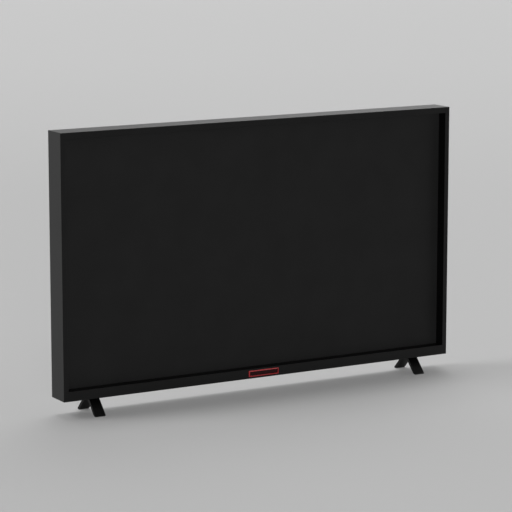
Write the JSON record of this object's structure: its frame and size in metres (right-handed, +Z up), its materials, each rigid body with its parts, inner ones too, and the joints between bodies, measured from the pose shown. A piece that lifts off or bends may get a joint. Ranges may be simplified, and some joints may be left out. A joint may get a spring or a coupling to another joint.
{
  "type": "flat screen television",
  "caption": "Boxy black flat screen television with a deep-set screen, a thin bezel with a red-edged sensor window, rear control keys and splayed feet.",
  "frame": {"origin": "floor level, midway between the feet and midway between their front and back ends", "axes": "+X to the viewer's right when facing the screen, +Y from the screen to the back, +Z up"},
  "size_m": [0.966, 0.0888, 0.6044],
  "materials": {
    "cabinet_plastic": "fine satin grain",
    "sensor_red": "gloss",
    "smoked_window": "gloss",
    "screen": "anti-glare",
    "foam": "matte",
    "inner_plastic": "satin",
    "optical_sheet": "translucent matte",
    "light_guide": "clear",
    "light_bar": "satin",
    "aluminium": "brushed",
    "steel": "zinc plated",
    "black_screw": "black zinc",
    "plated_socket": "nickel plated",
    "circuit_board": "solder mask",
    "film": "film",
    "ribbon": "film",
    "wire": "satin",
    "component": "satin",
    "cone": "matte",
    "foot_black": "satin black",
    "key_black": "satin"
  },
  "bodies": {
    "set": {"front_frame": "cabinet_plastic", "rear_cover": "cabinet_plastic", "terminal_bay": "cabinet_plastic", "inlet_bay": "cabinet_plastic", "ir_trim": "sensor_red", "ir_window": "smoked_window", "lcd_panel": "screen", "screen_gasket": "foam", "speaker_grommets": "foam", "foot_pads": "foam", "panel_mid_frame": "inner_plastic", "speaker_left": "inner_plastic", "speaker_right": "inner_plastic", "mains_inlet": "inner_plastic", "audio_jacks": "inner_plastic", "prism_sheet": "optical_sheet", "diffuser_sheet": "optical_sheet", "reflector_sheet": "optical_sheet", "light_guide": "light_guide", "led_bar": "light_bar", "led_heat_spreader": "aluminium", "soc_heat_sink": "aluminium", "power_heat_sinks": "aluminium", "back_pan": "steel", "panel_brackets": "steel", "vesa_inserts": "steel", "foot_sleeves": "steel", "inner_screws": "steel", "tcon_shield": "steel", "cover_screws": "black_screw", "foot_screws": "black_screw", "hdmi_sockets": "plated_socket", "usb_socket": "plated_socket", "aerial_socket": "plated_socket", "source_boards": "circuit_board", "tcon_board": "circuit_board", "main_board": "circuit_board", "power_board": "circuit_board", "ir_board": "circuit_board", "key_board": "circuit_board", "wifi_module": "circuit_board", "driver_flexes": "film", "tcon_ribbons": "ribbon", "lvds_ribbon": "ribbon", "power_harness": "wire", "inlet_lead": "wire", "speaker_leads": "wire", "signal_leads": "wire", "power_transformer": "component", "mains_capacitors": "component", "speaker_cones": "cone", "foot_left": "foot_black", "foot_right": "foot_black"},
    "key_power": {"key_power": "key_black"},
    "key_source": {"key_source": "key_black"},
    "key_menu": {"key_menu": "key_black"},
    "key_volume_up": {"key_volume_up": "key_black"},
    "key_volume_down": {"key_volume_down": "key_black"},
    "key_channel_up": {"key_channel_up": "key_black"},
    "key_channel_down": {"key_channel_down": "key_black"}
  },
  "joints": [
    {"name": "key_power_press", "type": "slide", "parent": "set", "child": "key_power", "axis": [0, -1, 0], "range_m": [0, 0.0008], "stiffness_N_per_m": 900, "springref_m": -0.0006},
    {"name": "key_source_press", "type": "slide", "parent": "set", "child": "key_source", "axis": [0, -1, 0], "range_m": [0, 0.0008], "stiffness_N_per_m": 900, "springref_m": -0.0006},
    {"name": "key_menu_press", "type": "slide", "parent": "set", "child": "key_menu", "axis": [0, -1, 0], "range_m": [0, 0.0008], "stiffness_N_per_m": 900, "springref_m": -0.0006},
    {"name": "key_volume_up_press", "type": "slide", "parent": "set", "child": "key_volume_up", "axis": [0, -1, 0], "range_m": [0, 0.0008], "stiffness_N_per_m": 900, "springref_m": -0.0006},
    {"name": "key_volume_down_press", "type": "slide", "parent": "set", "child": "key_volume_down", "axis": [0, -1, 0], "range_m": [0, 0.0008], "stiffness_N_per_m": 900, "springref_m": -0.0006},
    {"name": "key_channel_up_press", "type": "slide", "parent": "set", "child": "key_channel_up", "axis": [0, -1, 0], "range_m": [0, 0.0008], "stiffness_N_per_m": 900, "springref_m": -0.0006},
    {"name": "key_channel_down_press", "type": "slide", "parent": "set", "child": "key_channel_down", "axis": [0, -1, 0], "range_m": [0, 0.0008], "stiffness_N_per_m": 900, "springref_m": -0.0006}
  ]
}
